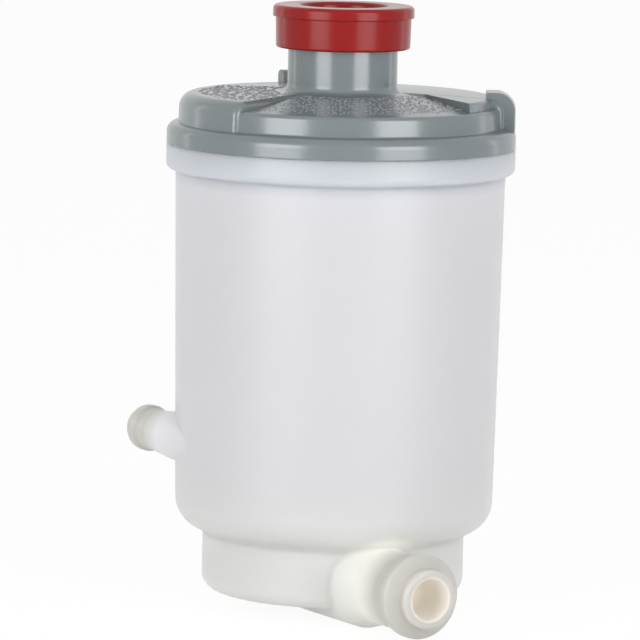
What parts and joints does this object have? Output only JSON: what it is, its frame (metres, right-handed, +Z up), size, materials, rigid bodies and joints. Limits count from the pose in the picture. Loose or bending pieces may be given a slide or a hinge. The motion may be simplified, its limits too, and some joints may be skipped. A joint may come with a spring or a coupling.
{
  "type": "power steering reservoir",
  "caption": "Round moulded fluid tank with a sump, a side return nipple and a bottom suction nipple, a welded lid with a filler neck and a screw cap.",
  "frame": {"origin": "on the tank's axis, in the plane of the flange's underside, where the bracket ring holds it", "axes": "+Z up through the filler neck; the suction nipple points along -Y and the return nipple along +Y"},
  "size_m": [0.088, 0.101, 0.1535],
  "materials": {
    "tank_plastic": "natural milky polypropylene, satin",
    "lid_plastic": "blue-grey moulded plastic, semi-gloss",
    "cap_plastic": "deep red moulded plastic, glossy",
    "seal_rubber": "black rubber, dull",
    "insert_plastic": "natural nylon, satin",
    "screen_steel": "woven stainless screen"
  },
  "bodies": {
    "reservoir": {"tank": "tank_plastic", "lid": "lid_plastic", "strainer_frame": "insert_plastic", "strainer_mesh": "screen_steel", "baffle_plate": "insert_plastic"},
    "gasket": {"cap_gasket": "seal_rubber"},
    "cap": {"filler_cap": "cap_plastic", "vent_valve": "seal_rubber"}
  },
  "joints": [
    {"name": "cap_lift", "type": "slide", "parent": "reservoir", "child": "gasket", "axis": [0, 0, 1], "range_m": [0, 0.00341]},
    {"name": "cap_turn", "type": "hinge", "parent": "gasket", "child": "cap", "pos_m": [0, 0, 0.0386], "axis": [0, 0, 1], "range_deg": [0, 350]}
  ],
  "couplings": [
    {"joint": "cap_lift", "follows": "cap_turn", "m_per_rad": 0.00055704}
  ]
}
